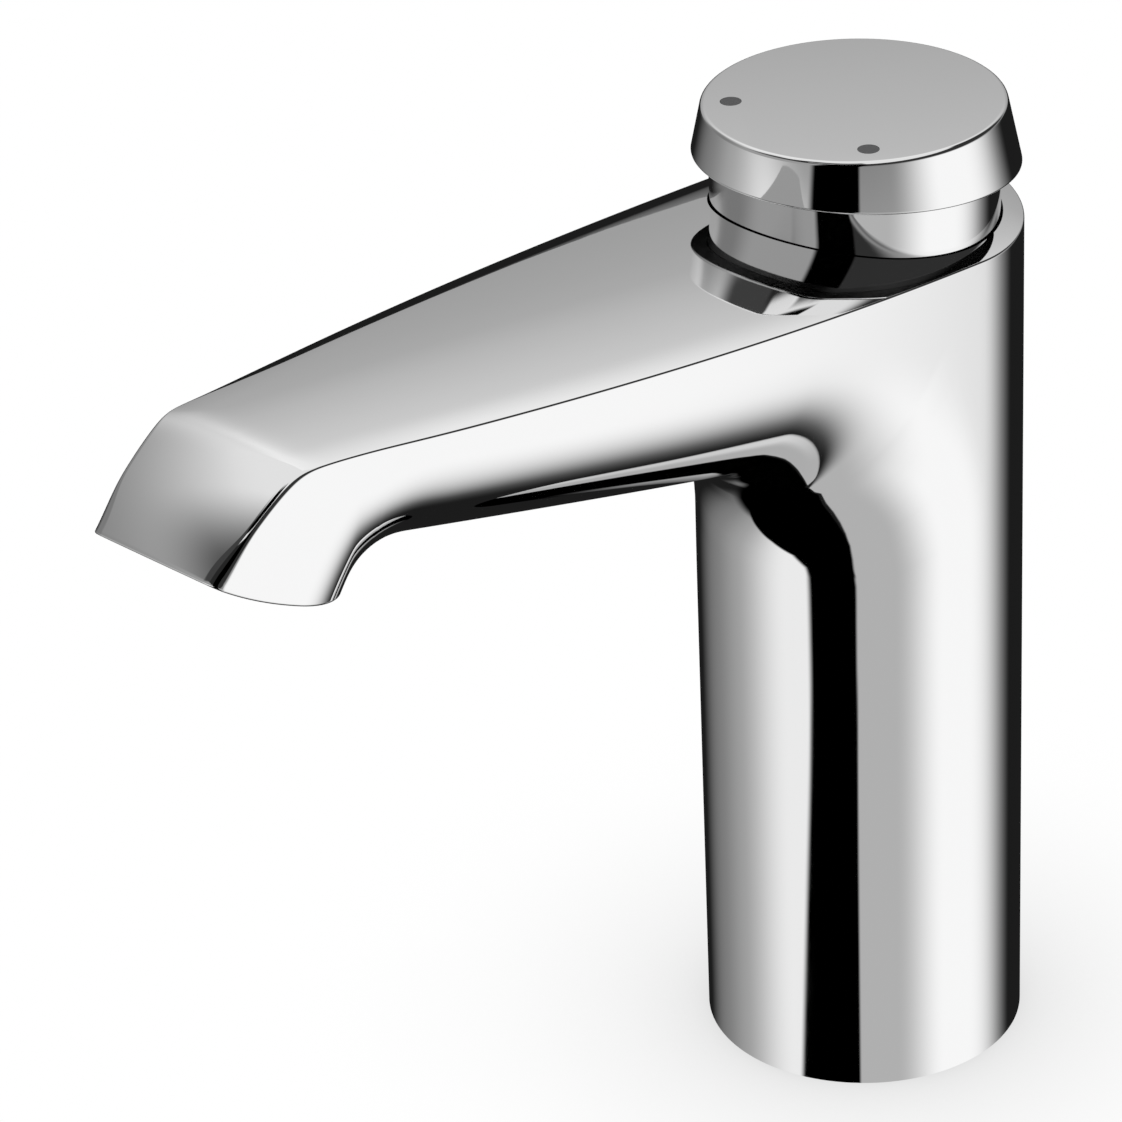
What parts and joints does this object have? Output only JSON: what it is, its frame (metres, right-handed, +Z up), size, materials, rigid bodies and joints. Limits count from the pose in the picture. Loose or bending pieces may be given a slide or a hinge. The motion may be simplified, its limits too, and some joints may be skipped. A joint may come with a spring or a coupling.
{
  "type": "push timed tap",
  "caption": "Single-hole basin tap with a cast column and tapering spout; its top button is pressed to start a timed flow and turned to set the temperature.",
  "frame": {"origin": "middle of the column's foot, in the plane of the basin's deck", "axes": "+Z up along the column's axis, -Y towards the spout's nose, +X to the right seen from the user's side"},
  "size_m": [0.048, 0.159, 0.1511],
  "materials": {
    "chrome": "polished chromium plate",
    "brass": "turned, uncoated",
    "ceramic": "lapped",
    "rubber": "moulded",
    "acetal": "moulded",
    "steel": "drawn or turned",
    "marker": "flush inlay"
  },
  "bodies": {
    "body": {"body_casting": "chrome", "inlet_base": "brass", "base_gasket": "rubber", "port_seals": "rubber", "cartridge_base": "acetal", "base_seal": "rubber", "fixed_disc": "ceramic", "cartridge_sleeve": "brass", "flange_seal": "rubber", "timing_cup": "acetal", "valve_seat": "brass", "spindle_guide": "brass", "spindle_seal": "rubber", "cartridge_nut": "brass", "thrust_washer": "steel", "aerator_housing": "chrome", "aerator_insert": "acetal", "aerator_washer": "rubber"},
    "selector": {"mixing_disc": "ceramic", "disc_driver": "acetal", "return_spring": "steel"},
    "button": {"spindle": "steel", "piston": "acetal", "piston_seal": "rubber", "valve_holder": "brass", "valve_washer": "rubber", "valve_nut": "steel", "push_cap": "chrome", "skirt": "chrome", "warm_marker": "marker", "cool_marker": "marker"}
  },
  "joints": [
    {"name": "temperature", "type": "hinge", "parent": "body", "child": "selector", "pos_m": [0, 0, 0.068], "axis": [0, 0, 1], "range_deg": [-45, 45]},
    {"name": "push", "type": "slide", "parent": "selector", "child": "button", "axis": [0, 0, -1], "range_m": [0, 0.0017], "stiffness_N_per_m": 4000, "springref_m": -0.004, "deforming": ["return_spring"]}
  ]
}
